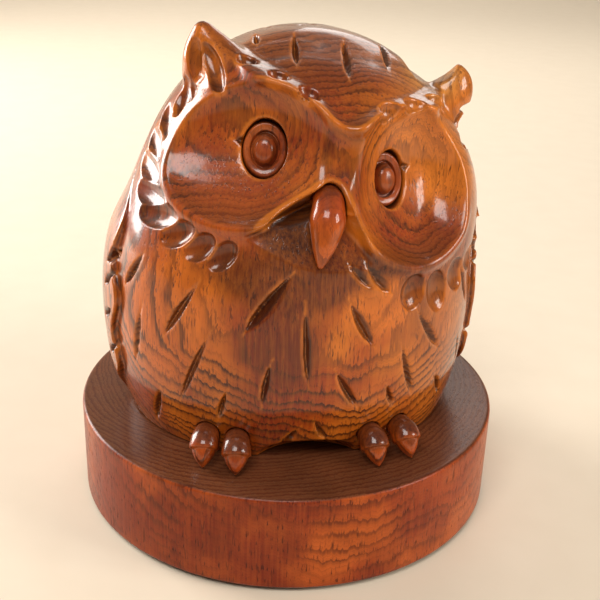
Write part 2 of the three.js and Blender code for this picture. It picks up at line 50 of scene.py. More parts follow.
# ================================================================ clay
class Clay:
    """A block of distance values on a regular grid: negative inside the wood."""

    def __init__(self, low, high, step):
        self.low = np.array(low, float)
        self.step = step
        self.axes = [np.arange(a, b + step, step, dtype=np.float32) for a, b in zip(low, high)]
        self.field = np.full([len(a) for a in self.axes], 50.0, np.float32)

    def whole(self):
        x, y, z = self.axes
        return x[:, None, None], y[None, :, None], z[None, None, :]

    def window(self, low, high):
        spans = []
        for axis, a, b in zip(self.axes, low, high):
            i = int(np.searchsorted(axis, a))
            j = int(np.searchsorted(axis, b))
            spans.append(slice(max(i - 1, 0), max(j + 1, 1)))
        x, y, z = (axis[s] for axis, s in zip(self.axes, spans))
        return tuple(spans), x[:, None, None], y[None, :, None], z[None, None, :]

    def add(self, tool, blend=0.0):
        low, high, distance = tool
        spans, x, y, z = self.window(low, high)
        self.field[spans] = soft_min(self.field[spans], distance(x, y, z), blend)

    def cut(self, tool, blend=0.0):
        low, high, distance = tool
        spans, x, y, z = self.window(low, high)
        amount = blend(x, y, z) if callable(blend) else blend
        self.field[spans] = -soft_min(-self.field[spans], distance(x, y, z), amount)

    def cut_all(self, tools):
        for tool, blend in tools:
            self.cut(tool, blend)

    def sample(self, points):
        place = (np.asarray(points, float) - self.low) / self.step
        place = np.clip(place, 0, np.array(self.field.shape) - 1.001)
        base = place.astype(int)
        part = place - base
        total = 0
        for corner in np.ndindex(2, 2, 2):
            weight = np.prod(np.where(corner, part, 1 - part), axis=-1)
            i, j, k = (base + corner).T if base.ndim > 1 else base + corner
            total = total + weight * self.field[i, j, k]
        return total

    def gradient(self, points):
        points = np.asarray(points, float)
        slopes = []
        for axis in range(3):
            offset = np.zeros(3)
            offset[axis] = 0.8 * self.step
            slopes.append(self.sample(points + offset) - self.sample(points - offset))
        slopes = np.stack(slopes, -1)
        return slopes / np.maximum(np.linalg.norm(slopes, axis=-1, keepdims=True), 1e-9)

    def surface_along(self, start, direction, reach=110.0, stride=0.25):
        """Where a ray from inside the wood leaves it for the last time."""
        direction = unit(direction)
        steps = np.arange(0.0, reach, stride)
        values = self.sample(np.array(start) + steps[:, None] * direction)
        last = np.nonzero(values < 0)[0][-1]
        t = steps[last] + stride * values[last] / (values[last] - values[last + 1])
        return np.array(start) + t * direction

    def surface_mesh(self):
        """Vertices and quads of the zero surface, by surface nets."""
        field = self.field
        inside = field < 0
        count = np.zeros([n - 1 for n in field.shape], np.int8)
        for dx, dy, dz in np.ndindex(2, 2, 2):
            count += inside[dx:dx + count.shape[0], dy:dy + count.shape[1], dz:dz + count.shape[2]]
        cells = np.argwhere((count > 0) & (count < 8))
        total = np.zeros((len(cells), 3))
        number = np.zeros(len(cells))
        for axis in range(3):
            others = [a for a in range(3) if a != axis]
            for p, q in np.ndindex(2, 2):
                first = np.zeros(3, int)
                first[others[0]], first[others[1]] = p, q
                second = first.copy()
                second[axis] = 1
                a = field[tuple((cells + first).T)].astype(float)
                b = field[tuple((cells + second).T)].astype(float)
                crosses = (a < 0) != (b < 0)
                point = np.tile(first.astype(float), (len(cells), 1))
                point[:, axis] = np.where(crosses, a / np.where(crosses, a - b, 1), 0)
                total += point * crosses[:, None]
                number += crosses
        vertices = (cells + total / number[:, None]) * self.step + self.low
        index = np.full(count.shape, -1, np.int32)
        index[tuple(cells.T)] = np.arange(len(cells))
        quads = []
        for axis in range(3):
            u, v = (axis + 1) % 3, (axis + 2) % 3
            here = [slice(1, n - 1) for n in field.shape]
            here[axis] = slice(0, field.shape[axis] - 1)
            there = list(here)
            there[axis] = slice(1, field.shape[axis])
            a, b = inside[tuple(here)], inside[tuple(there)]
            places = np.argwhere(a != b)
            leaving = a[tuple(places.T)]
            shift = np.array([1, 1, 1])
            shift[axis] = 0
            places = places + shift
            corners = []
            for du, dv in ((0, 0), (-1, 0), (-1, -1), (0, -1)):
                corner = places.copy()
                corner[:, u] += du
                corner[:, v] += dv
                corners.append(index[tuple(corner.T)])
            quad = np.stack(corners, -1)
            quad[~leaving] = quad[~leaving][:, ::-1]
            quads.append(quad)
        return vertices, np.concatenate(quads)


def soft_min(a, b, blend):
    if np.max(blend) <= 0:
        return np.minimum(a, b)
    overlap = np.maximum(blend - np.abs(a - b), 0) / blend
    return np.minimum(a, b) - overlap * overlap * (blend / 4)


def unit(v):
    v = np.asarray(v, float)
    return v / np.linalg.norm(v)


def smoothstep(x, a, b):
    t = np.clip((x - a) / (b - a), 0, 1)
    return t * t * (3 - 2 * t)


def spread(a, b, n):
    return [a + (b - a) * i / (n - 1) for i in range(n)]


# ================================================================ tools
# Each tool is (lowest corner, highest corner, distance).
def ellipsoid_distance(x, y, z, radii):
    reach = np.sqrt((x / radii[0]) ** 2 + (y / radii[1]) ** 2 + (z / radii[2]) ** 2)
    steep = np.sqrt((x / radii[0] ** 2) ** 2 + (y / radii[1] ** 2) ** 2 + (z / radii[2] ** 2) ** 2)
    return reach * (reach - 1) / np.maximum(steep, 1e-9)


def local(x, y, z, place, rows):
    dx, dy, dz = x - place[0], y - place[1], z - place[2]
    return [dx * e[0] + dy * e[1] + dz * e[2] for e in rows]


def ellipsoid(place, rows, radii, margin=3.0):
    """An ellipsoid whose semi-axes lie along the three rows."""
    place = np.array(place, float)
    rows = np.array(rows, float)
    reach = np.sqrt(((rows * np.array(radii)[:, None]) ** 2).sum(0)) + margin

    def distance(x, y, z):
        a, b, c = local(x, y, z, place, rows)
        return ellipsoid_distance(a, b, c, radii)

    return place - reach, place + reach, distance


def rows_from(along, up):
    """Rows: along, across and up, with up made square to along."""
    along = unit(along)
    up = unit(np.asarray(up, float) - np.dot(up, along) * along)
    return np.array([along, np.cross(up, along), up])


LEVEL = ((1, 0, 0), (0, 1, 0), (0, 0, 1))


def grown(tool, amount):
    low, high, distance = tool
    return low - amount, high + amount, lambda x, y, z: distance(x, y, z) - amount


def lobe(points, radii, flat=1.0, flat_axis=(0, 0, 1), blend=3.0, per=5):
    """A soft chain of balls, flattened along one axis."""
    points = np.array(points, float)
    steps = np.linspace(0, len(points) - 1, per * (len(points) - 1) + 1)
    places = range(len(points))
    centres = np.stack([np.interp(steps, places, points[:, i]) for i in range(3)], -1)
    sizes = np.interp(steps, places, radii)
    axis = unit(flat_axis)
    reach = max(radii) + 4

    def distance(x, y, z):
        best = None
        for c, r in zip(centres, sizes):
            dx, dy, dz = x - c[0], y - c[1], z - c[2]
            off = dx * axis[0] + dy * axis[1] + dz * axis[2]
            d = np.sqrt(dx * dx + dy * dy + dz * dz + (flat * flat - 1) * off * off) - r
            best = d if best is None else soft_min(best, d, blend)
        return best

    return centres.min(0) - reach, centres.max(0) + reach, distance


def groove(clay, points, widths, depths, lean=0.0, margin=1.5):
    """A V-cut along a chain of surface points. lean makes one wall steeper than the other."""
    points = np.array(points, float)
    outs = clay.gradient(points)

    def distance(x, y, z):
        best = None
        for i in range(len(points) - 1):
            length = np.linalg.norm(points[i + 1] - points[i])
            rows = rows_from(points[i + 1] - points[i], outs[i] + outs[i + 1])
            s, q, h = local(x, y, z, points[i], rows)
            t = np.clip(s / length, 0, 1)
            half = (widths[i] + (widths[i + 1] - widths[i]) * t) / 2
            deep = depths[i] + (depths[i + 1] - depths[i]) * t
            slope = half / np.maximum(deep, 0.05)
            shifted = q - lean * half * np.clip(h / np.maximum(deep, 0.05), -1, 0)
            wall = (np.abs(shifted) - slope * (h + deep)) / np.sqrt(1 + slope * slope)
            wall = np.maximum(wall, np.maximum(np.maximum(-s, s - length), 0) - 0.05)
            best = wall if best is None else np.minimum(best, wall)
        return best

    reach = max(widths) + margin
    return points.min(0) - reach, points.max(0) + reach, distance


LEAF = (0.0, 0.55, 0.9, 1.0, 0.8, 0.0)    # how the width of a cut swells along its length


def leaf_cut(clay, points, width, depth, lean=0.0):
    return groove(clay, points, [width * k + 0.05 for k in LEAF], [depth * k + 0.05 for k in LEAF], lean)


def scoop(clay, a, b, wide, deep, lift=0.35, dip=0.0):
    """A thumbnail cut from surface point a to b; dip sinks the end at b deeper than the one at a."""
    middle = (a + b) / 2
    out = clay.gradient(middle[None])[0]
    middle = middle - out * clay.sample(middle[None])[0]
    along = unit(b - a)
    along = along * np.cos(dip) - out * np.sin(dip)
    height = deep * lift
    radii = (np.linalg.norm(b - a) / 2 + 0.8, wide / 2, deep + height)
    return ellipsoid(middle + out * height, rows_from(along, out), radii)


# ================================================================ the owl's form, in mm above its foot
NECK = np.array([2.5, 0.0, 90.0])         # pivot of the tilted head
TILT = math.radians(12)
HEAD_CORE = (0.0, 0.0, 5.0)
BELLY_RADII = (70.0, 62.0, 84.0)
HEAD_RADII = (50.5, 53.0, 43.7)
DISC_REACH = 42.4
DISC_CURVE = 78.0
DISC_ACROSS = {-1: 112.0, 1: 76.0}
# the rim of each disc, seen along its facing: middle across and up, half-sizes, turn, height of the rim
DISC_RIM = {-1: ((-0.2, -2.5), (24.2, 32.3), 1.70, 7.0), 1: ((-5.6, 0.8), (28.6, 27.0), 1.23, 11.5)}
WING_RAISE = 2.5
EYE_OVAL = 0.78
EYE_RADIUS = 10.2
EYE_SINK = 3.2
TOES = {"toe_right_outer": (-40, -60), "toe_right_inner": (-29, -66),
        "toe_left_inner": (22, -67), "toe_left_outer": (35, -63)}
SOCKET_GAP = 0.3
# middles in mm: head, cheek and nose in the tilted head, belly, tail and foot arch above the foot
BELLY_HEIGHT = 44
HEAD_MIDDLE = (2.4, 0, 9)
CHEEK_MIDDLE, CHEEK_RADII = (40, -2, -4), (26, 40, 34)
NECK_BLEND, CHEEK_BLEND = 24, 10
BROW_LIFT, CROWN_DROP = 2.1, 2.3           # how far the brow band stands out and the crown sits back
TAIL_MIDDLE, TAIL_RADII = (0, 52, 30), (32, 17, 9)
NOSE_MIDDLE, NOSE_RADII = (0, -60.5, 20), (8.5, 12.2, 14)
FOOT_ARCH_MIDDLE, FOOT_ARCH_RADII = (-2, -60, 0), (20, 14, 8)


def in_head(u, v, w):
    """A place in the tilted head: u across, v back, w up from the neck pivot."""
    c, s = math.cos(TILT), math.sin(TILT)
    return NECK + np.array([u * c + w * s, v, w * c - u * s])


def head_direction(u, v, w):
    return unit(in_head(u, v, w) - NECK)


def to_head(x, y, z):
    c, s = math.cos(TILT), math.sin(TILT)
    dx, dz = x - NECK[0], z - NECK[2]
    return dx * c - dz * s, y, dx * s + dz * c


def brow_height(u):
    """The lower edge of the crown: a rounded V that rises to both ears."""
    across = np.sqrt(u * u + 12) - math.sqrt(12)
    rise = 10.5 * (1 - np.exp(-across / 10.5))
    return 28.5 + rise + 0.016 * np.maximum(across - 21, 0) ** 2


def block(clay):
    """Belly, tilted head, folded wings, and the raised brow band."""
    x, y, z = clay.whole()
    flare = 1 + 0.055 * np.clip((BELLY_HEIGHT - z) / BELLY_HEIGHT, 0, 1) ** 2
    belly = ellipsoid_distance(x / flare, y / flare, z - BELLY_HEIGHT, BELLY_RADII)
    u, v, w = to_head(x, y, z)
    head = ellipsoid_distance(*(a - b for a, b in zip((u, v, w), HEAD_MIDDLE)), HEAD_RADII)
    field = soft_min(belly, head, NECK_BLEND)
    cheek = ellipsoid_distance(*(a - b for a, b in zip((u, v, w), CHEEK_MIDDLE)), CHEEK_RADII)
    field = soft_min(field, cheek, CHEEK_BLEND)
    above = w - brow_height(u)
    crown = smoothstep(above, -0.3, 2.8) * smoothstep(-v, 4, 22)
    band = np.exp(-((above + 2.0) / 2.7) ** 2) * smoothstep(-v, -2, 14)
    field = field + CROWN_DROP * crown - BROW_LIFT * band
    turn = np.degrees(np.arctan2(np.abs(x), -y))
    edge = 74 + 7 * ((z - 46) / 35) ** 2 + 2.0 * np.sin(z * 0.22)
    raised = WING_RAISE * smoothstep(92 - z, 0, 26) * smoothstep(z, 0, 18)
    wing = np.maximum(field - raised, (edge - turn) * 1.15)
    return soft_min(field, wing, 0.8)


def disc_axis(side):
    return head_direction(0.6 * side, -0.79, 0.13)


def facial_disc(side):
    facing = head_direction(0.50 * side, -0.76, 0.36)
    across = unit(np.cross((0, 0, 1), facing))
    centre = in_head(*HEAD_CORE) + disc_axis(side) * DISC_REACH + facing * DISC_CURVE
    rows = (across, np.cross(facing, across), facing)
    _, _, dish = ellipsoid(centre, rows, (DISC_ACROSS[side], 57, DISC_CURVE))
    bottom = centre - facing * DISC_CURVE
    middle, radii, turn, rim = DISC_RIM[side]
    cos, sin = math.cos(turn), math.sin(turn)

    def distance(x, y, z):
        a, b, h = local(x, y, z, bottom, rows)
        a, b = a - middle[0], b - middle[1]
        p, q = (a * cos + b * sin) / radii[0], (b * cos - a * sin) / radii[1]
        wall = (np.sqrt(p * p + q * q) - 1) * min(radii) - 0.4 * (h - rim)
        return -soft_min(-dish(x, y, z), -wall * 0.85, 5.0)

    return in_head(*HEAD_CORE) - 70, in_head(*HEAD_CORE) + 70, distance


def rim_bead(clay):
    """Thickens the wood just outside the lower edge of each disc, so that the edge stands up as a lip."""
    x, y, z = clay.whole()
    _, _, w = to_head(x, y, z)
    low = smoothstep(12 - w, 0, 14) * smoothstep(-y, 12, 30)
    for side in (-1, 1):
        apart = facial_disc(side)[2](x, y, z)
        clay.field -= 1.5 * np.exp(-((apart - 1.2) / 2.4) ** 2) * low


def nose_blend(x, y, z):
    """The two discs meet softly over the nose and crisply elsewhere."""
    u, v, w = to_head(x, y, z)
    return 1.0 + 9.0 * np.exp(-(u / 9.0) ** 2) * smoothstep(w, 6, 16) * smoothstep(36 - w, 0, 12)


def on_body(clay, turn, height):
    angle = math.radians(turn)
    return clay.surface_along((0, 0, height), (math.sin(angle), -math.cos(angle), 0))


def on_crown(clay, u, v):
    return clay.surface_along(in_head(u, v, 5), head_direction(0, 0, 1))


def on_face(clay, side, around, apart):
    """The head's surface at an angle round a disc's axis and an angle apart from it, in degrees."""
    axis = disc_axis(side)
    level = unit(np.cross((0, 0, 1), axis))
    rise = np.cross(axis, level)
    a, b = math.radians(around), math.radians(apart)
    away = level * math.cos(a) * side + rise * math.sin(a)
    return clay.surface_along(in_head(*HEAD_CORE), axis * math.cos(b) + away * math.sin(b))


def toward_head(clay, u, v, w):
    """Where the line from the head's core through a place in the head leaves the wood."""
    return clay.surface_along(in_head(*HEAD_CORE), in_head(u, v, w) - in_head(*HEAD_CORE))


def stroke(clay, place, start, end, width, depth, lean=0.0):
    n = len(LEAF)
    spots = [place(clay, a, b) for a, b in zip(spread(start[0], end[0], n), spread(start[1], end[1], n))]
    return leaf_cut(clay, spots, width, depth, lean)


def ears(clay):
    front = (0, -1, 0)
    right = [in_head(-39, -2, 22), in_head(-42, -5, 29), in_head(-44.5, -6, 36), in_head(-46, -6, 41),
             in_head(-47, -6, 44.6)]
    clay.add(lobe(right, (6.5, 7.5, 5.8, 2.8, 0.6), 1.15, front), 2.0)
    inner = [in_head(-28, -20, 25.5), in_head(-34.5, -14.5, 32), in_head(-41, -9, 38.5),
             in_head(-46.4, -6.5, 44)]
    clay.add(lobe(inner, (8.5, 8, 4.8, 0.7), 1.1, front), 2.5)
    left = [in_head(37, -4, 24), in_head(43, -6, 33), in_head(47, -6, 41), in_head(47.5, -6, 45.5),
            in_head(45.5, -6, 49.5)]
    clay.add(lobe(left, (9, 8.5, 6.6, 3.6, 0.7), 1.25, front), 2.0)


def ear_cuts(clay):
    # hollows between the crown and each ear
    backward = rows_from(head_direction(0, 1, 0.1), (0, 0, 1))
    tools = [(ellipsoid(in_head(35.5, 2, 54.5), backward, (34, 11, 11)), 1.0),
             (ellipsoid(in_head(-35.5, 8, 52), backward, (26, 7.5, 10)), 1.5)]
    # the long thumb scoop in the face of the right ear, and the facet outside it
    a = toward_head(clay, -46.2, -12, 40)
    b = toward_head(clay, -39.0, -25, 28)
    tools.append((scoop(clay, a, b, 7.6, 3.4, 0.25), 0.3))
    a = toward_head(clay, -48.2, -9, 41.5)
    b = toward_head(clay, -48.6, -13, 27)
    tools.append((scoop(clay, a, b, 6.4, 2.2, 0.4), 0.3))
    # steps under the left ear's lobe
    sweep = rows_from(head_direction(0.3, 1, 0), (0, 0, 1))
    tools.append((ellipsoid(in_head(54.5, -8, 37.2), sweep, (12, 4.0, 2.0)), 0.5))
    tools.append((ellipsoid(in_head(55.5, -8, 26.5), sweep, (14, 4.0, 3.6)), 0.8))
    return tools


# Ruff leaves on each side: angle round the disc and angle apart from its axis, at the outer and then
# the inner end, and the width.
RUFF = {
    -1: [(35, 42, 32, 34, 5.5), (36, 45, 18, 36, 7), (20, 51, 2, 36, 7), (6, 53, -13, 35, 7.5),
         (-5, 54, -26, 33, 8), (-19, 50, -39, 31, 8), (-31, 46, -52, 29, 8.5), (-52, 38, -66, 27, 7.5),
         (-69, 35, -83, 27, 7.5), (-84, 35, -98, 28, 7)],
    1: [(26, 47, 14, 38, 6), (12, 49, 0, 38, 7), (-2, 49, -14, 38, 8), (-15, 49, -26, 37, 8),
        (-27, 49, -38, 35, 8), (-40, 46, -52, 31, 8.5), (-62, 36, -67, 26, 9.5), (-84, 35, -86, 25, 9.5),
        (-106, 34, -104, 25, 9.5)],
}


def ruff(clay):
    tools = []
    for side, leaves in RUFF.items():
        for outer, outer_apart, inner, inner_apart, wide in leaves:
            a = on_face(clay, side, outer, outer_apart)
            b = on_face(clay, side, inner, inner_apart)
            tools.append((scoop(clay, a, b, wide * 1.25, 2.6, 0.45, 0.12), 0.2))
    return tools


def brow_cuts(clay):
    """Three thumbnail cups along the top of each brow."""
    tools = []
    for side, size, lift, shift in ((-1, 0.8, 1.6, 0.0), (1, 1.0, 0.6, 3.0)):
        for u, v, w in ((13, -40, 35.3), (23.6, -33, 38.5), (34.6, -23, 40.6)):
            p = toward_head(clay, (u + shift) * side, v, w + lift)
            out = clay.gradient(p[None])[0]
            along = head_direction(1, 0.35 * side, 0.45 * side)
            radii = np.array((5.2, 3.9, 4.4)) * size
            tools.append((ellipsoid(p + out * 0.9 * size, rows_from(along, out), radii), 0.25))
    return tools


# The hollow under the arch: corners (u, w) going round it, and how steeply it sinks from each side.
POCKET_CORNERS = ((-27, -12), (-2.2, 11.4), (2.4, 11.0), (21, -12.5), (-3, -18))
POCKET_SLOPES = (1.5, 2.0, 1.1, 0.55, 0.55)
POCKET_DEPTH = 9.5


def pocket(clay):
    """Sinks the hollow under the arch, steep below the lip and fading into the breast."""
    x, y, z = clay.whole()
    u, v, w = to_head(x, y, z)
    sink = POCKET_DEPTH
    for n, slope in enumerate(POCKET_SLOPES):
        a, b = POCKET_CORNERS[n], POCKET_CORNERS[(n + 1) % len(POCKET_CORNERS)]
        length = math.dist(a, b)
        inward = ((b[1] - a[1]) * (u - a[0]) - (b[0] - a[0]) * (w - a[1])) / length
        sink = soft_min(sink, inward * slope, 2.5)
    clay.field += np.maximum(sink, 0) * smoothstep(-v, 20, 36)


CHIN_CUTS = [((14, -55, -10), (27, -56, -21), 5.0), ((8.5, -58, -12), (20.5, -58, -20), 3.6)]


def chin_cuts(clay):
    tools = []
    for a, b, wide in CHIN_CUTS:
        spots = [toward_head(clay, *p) for p in spread(np.array(a, float), np.array(b, float), len(LEAF))]
        tools.append((leaf_cut(clay, spots, wide, wide * 0.45, 0.5), 0.25))
    return tools


# Feather cuts on breast and belly: (turn, height) at the top and at the foot, and the width.
BREAST_CUTS = [
    (-62, 71, -70, 56, 4.2), (-39, 67, -51, 44, 4), (-9, 73, -24, 51, 5), (9, 63, 18, 45, 4.6),
    (-60, 53, -65, 28, 3.4), (-34, 51, -46, 20, 3.4), (-5, 63, -3, 31, 3.8), (34, 55, 46, 36, 4),
    (28, 44, 36, 20, 3.6), (-15, 42, -18, 23, 3.6), (5, 38, 14, 21, 3.8), (-29, 29, -33, 15, 3),
    (-54, 22, -60, 5, 3.6), (24, 29, 28, 18, 3), (47, 25, 54, 13, 3.2), (58, 66, 66, 46, 4),
    (-5, 15, -13, 3, 3.4), (-1, 18, 5, 7, 3.2), (60, 36, 66, 20, 3),
]
CROWN_CUTS = [(-28, -1, -11), (-16, -9, -27), (1, -11, -33), (17, 0, -21), (30, -1, -13),
              (-22, 16, 4), (-7, 14, 0), (9, 20, 6), (24, 22, 9)]
WING_CUTS = [(92, 78, 40), (104, 62, 22), (113, 84, 50), (124, 66, 26), (135, 82, 46), (145, 60, 24),
             (98, 34, 12), (134, 36, 14)]
WING_NOTCHES = [(66, 7), (57, 8), (43, 10), (28, 9)]


def feather_cuts(clay):
    tools = [(stroke(clay, on_body, (a, b), (c, d), w, w * 0.62, 0.4), 0.15)
             for a, b, c, d, w in BREAST_CUTS]
    tools += [(stroke(clay, on_crown, (u, a), (u, b), 3.3, 2.6, 0.3), 0.15) for u, a, b in CROWN_CUTS]
    for side in (-1, 1):
        for height, length in WING_NOTCHES:
            start, end = (side * 75, height + 2), (side * (75 + length), height - 6)
            tools.append((stroke(clay, on_body, start, end, 4.6, 3.2), 0.3))
        for turn, top, foot in WING_CUTS:
            start, end = (side * turn, top), (side * (turn + 8), foot)
            tools.append((stroke(clay, on_body, start, end, 4.2, 2.6), 0.3))
    for row in range(4):
        for place in range(-2, 3):
            turn = 180 + (place + (row % 2) / 2 - 0.25) * 25
            top = 128 - 14 * row
            tools.append((stroke(clay, on_body, (turn, top), (turn + 3 * place, top - 12), 3.8, 2.3), 0.3))
    for place in (-1, 0, 1):
        tools.append((stroke(clay, on_body, (180 + 9 * place, 52), (180 + 12 * place, 14), 4.4, 2.8), 0.3))
    return tools


def eye_place(clay, side):
    """The middle of an eye's ring and the rows of its frame: across, up and out."""
    axis = head_direction(0.3 * side, -0.9, 0.3)
    across = unit(np.cross((0, 0, 1), axis))
    u, v, w = (-23.6, -36.6, 14.5) if side < 0 else (24.4, -36.6, 12.2)
    place = toward_head(clay, u, v, w) - EYE_SINK * axis
    return place, np.array([across, np.cross(axis, across), axis])


def eye_bore(clay, place, rows, side):
    """The oval bore round an eye, with a pointed nick at its outer corner."""
    def distance(x, y, z):
        a, b, c = local(x, y, z, place, rows)
        wall = (np.sqrt((a / EYE_OVAL) ** 2 + b * b) - EYE_RADIUS) * 0.85
        return np.maximum(wall, -c - 2.5)

    core = in_head(*HEAD_CORE)
    corners = [place + rows[0] * side * across + rows[1] * (1.5 + 0.12 * across) + rows[2] * 6
               for across in (5, 9, 14)]
    spots = [clay.surface_along(core, corner - core) for corner in corners]
    nick = groove(clay, spots, (7.0, 5.4, 0.3), (3.6, 3.2, 0.3))
    return [(nick, 0.15), ((place - 22, place + 22, distance), 0.2)]


def beak_tool():
    top, tip = in_head(-0.2, -50.5, 4.2), in_head(-0.2, -60.0, -15.0)
    neck = top + np.array((0, 6, 1.5))
    bulge = top * 0.72 + tip * 0.28 + np.array((0, -1.8, 0))
    low = top * 0.34 + tip * 0.66 + np.array((0, -1.4, 0))
    return lobe([neck, top, bulge, low, tip], (3.8, 4.7, 5.5, 3.3, 0.5), blend=1.2, per=9)


TIP_HEIGHT = 1.2
HEEL_BACK, HEEL_UP = 6.8, 6.9              # from the tip of the claw to the heel
HOOD_LENGTH = 3.4
CLAW_RADIUS = 4.5
UNDERSIDE = 0.5                            # the toe is flat at this height


def toe_tool(x, y):
    """A round hood over the knuckle, with a smooth pointed claw growing out of it."""
    tip = np.array((x, y, TIP_HEIGHT))
    inward = unit((-x * 0.35, -y, 0))
    heel = tip + inward * HEEL_BACK + np.array((0, 0, HEEL_UP))
    length = float(np.linalg.norm(tip - heel))
    down = (tip - heel) / length
    hood = lobe([heel + inward * 5, heel, heel + down * 3.0], (4.2, 4.6, 4.9), blend=1.0)

    def distance(x_, y_, z_):
        dx, dy, dz = x_ - heel[0], y_ - heel[1], z_ - heel[2]
        along = dx * down[0] + dy * down[1] + dz * down[2]
        cap = -soft_min(-hood[2](x_, y_, z_), -(along - HOOD_LENGTH), 1.0)
        part = np.clip(along / length, 0, 1)
        beyond = along - part * length
        aside = np.sqrt(np.maximum(dx * dx + dy * dy + dz * dz - along * along, 0) + beyond * beyond)
        claw = (aside - CLAW_RADIUS * (1 - part ** 2.4) - 0.15) * 0.75
        return np.maximum(soft_min(cap, claw, 0.5), UNDERSIDE - z_)

    reach = np.full(3, 6.0)
    return np.minimum(hood[0], tip - reach), np.maximum(hood[1], tip + reach), distance


def carve_owl(step):
    clay = Clay((-77, -70, -2), (77, 68, 149), step)
    clay.field[:] = block(clay)
    clay.add(ellipsoid(TAIL_MIDDLE, rows_from((0, 0.35, -1), (0, 1, 0)), TAIL_RADII), 3.0)
    ears(clay)
    rim_bead(clay)
    for side in (-1, 1):
        clay.cut(facial_disc(side), nose_blend)
    clay.cut(ellipsoid(in_head(*NOSE_MIDDLE), LEVEL, NOSE_RADII), 6.0)
    pocket(clay)
    eyes = {side: eye_place(clay, side) for side in (-1, 1)}
    for tools in (ear_cuts, ruff, brow_cuts, chin_cuts, feather_cuts):
        clay.cut_all(tools(clay))
    for side, (place, rows) in eyes.items():
        clay.cut_all(eye_bore(clay, place, rows, side))
    clay.cut(ellipsoid(FOOT_ARCH_MIDDLE, LEVEL, FOOT_ARCH_RADII), 1.0)
    clay.cut(grown(beak_tool(), SOCKET_GAP), 0.2)
    for x, y in TOES.values():
        clay.cut(grown(toe_tool(x, y), SOCKET_GAP), 0.2)
    x, y, z = clay.whole()
    clay.field[:] = np.maximum(clay.field, -z)
    return clay, eyes


# ================================================================ meshes in the scene
def to_frame(points):
    """From mm above the foot to metres in the frame."""
    return (points + np.array((0, 0, FOOT))) * MM


def new_mesh(name, vertices, faces):
    """vertices in mm above the foot, faces all of one size."""
    mesh = bpy.data.meshes.new(name)
    sides = faces.shape[1]
    placed = to_frame(vertices)
    mesh.vertices.add(len(placed))
    mesh.vertices.foreach_set("co", placed.astype(np.float32).ravel())
    mesh.loops.add(faces.size)
    mesh.loops.foreach_set("vertex_index", faces.astype(np.int32).ravel())
    mesh.polygons.add(len(faces))
    mesh.polygons.foreach_set("loop_start", np.arange(0, faces.size, sides, dtype=np.int32))
    mesh.update(calc_edges=True)
    mesh.validate()
    return mesh


def new_object(name, mesh, material):
    mesh.materials.append(material)
    mesh.shade_smooth()
    obj = bpy.data.objects.new(name, mesh)
    bpy.context.scene.collection.objects.link(obj)
    return obj


def vertices_of(mesh):
    places = np.empty(len(mesh.vertices) * 3, np.float32)
    mesh.vertices.foreach_get("co", places)
    return places.reshape(-1, 3) / MM - np.array((0, 0, FOOT))


def thinned(mesh, ratio):
    """The mesh with fewer triangles where it is smooth."""
    obj = bpy.data.objects.new("thinning", mesh)
    bpy.context.scene.collection.objects.link(obj)
    modifier = obj.modifiers.new("thin", "DECIMATE")
    modifier.ratio = ratio
    fewer = bpy.data.meshes.new_from_object(obj.evaluated_get(bpy.context.evaluated_depsgraph_get()))
    bpy.data.objects.remove(obj)
    return fewer


def finish_clay(name, clay, material, ratio=1.0, near=1.6, far=5.0):
    """The clay's surface as an object, with how hollow and how edged it is at each vertex."""
    mesh = new_mesh(name, *clay.surface_mesh())
    if ratio < 1.0:
        mesh = thinned(mesh, ratio)
        mesh.name = name
    points = vertices_of(mesh)
    normals = clay.gradient(points)
    points = points - normals * clay.sample(points)[:, None] * 0.9
    placed = to_frame(points)
    mesh.vertices.foreach_set("co", placed.astype(np.float32).ravel())
    normals = clay.gradient(points)
    # how hollow, deep, edged and enclosed each vertex is; the wood material paints shade from hollow, deep
    # and cave, and a highlight from edge
    layers = {
        "hollow": np.clip(1 - clay.sample(points + normals * near) / near, 0, 1),
        "deep": np.clip(1 - clay.sample(points + normals * far) / far, 0, 1),
        "edge": np.clip(1 + clay.sample(points - normals * near) / near, 0, 1),
        "cave": np.clip(1 - clay.sample(points + normals * 2.4 * far) / (2.4 * far), 0, 1),
    }
    for layer, values in layers.items():
        attribute = mesh.attributes.new(layer, "FLOAT", "POINT")
        attribute.data.foreach_set("value", values.astype(np.float32))
    obj = new_object(name, mesh, material)
    mesh.normals_split_custom_set_from_vertices(normals.astype(np.float32))
    return obj


def piece_of(name, tool, step, material):
    low, high, _ = tool
    clay = Clay(low, high, step)
    clay.add(tool)
    return finish_clay(name, clay, material, near=0.8, far=2.0)


def turned(name, profile, segments, material, place=None, rows=None, scale=(1, 1, 1)):
    """A lathe shape: profile is [radius, height] from the bottom on the axis to the top on the axis."""
    angles = np.linspace(0, 2 * np.pi, segments, endpoint=False)
    rings = [np.stack([r * np.cos(angles), r * np.sin(angles), np.full(segments, h)], -1)
             for r, h in profile[1:-1]]
    points = np.concatenate([[(0, 0, profile[0][1])], *rings, [(0, 0, profile[-1][1])]])
    faces = []
    for i in range(segments):
        j = (i + 1) % segments
        faces.append((0, 1 + j, 1 + i))
        for ring in range(len(rings) - 1):
            a, b = 1 + ring * segments, 1 + (ring + 1) * segments
            faces.append((a + i, a + j, b + j, b + i))
        top = 1 + (len(rings) - 1) * segments
        faces.append((top + i, top + j, len(points) - 1))
    points = points * np.array(scale)
    if rows is not None:
        points = points @ np.array(rows)
    points = points + np.array((0, 0, 0) if place is None else place)
    mesh = bpy.data.meshes.new(name)
    mesh.from_pydata(to_frame(points).tolist(), [], faces)
    mesh.update()
    return new_object(name, mesh, material)


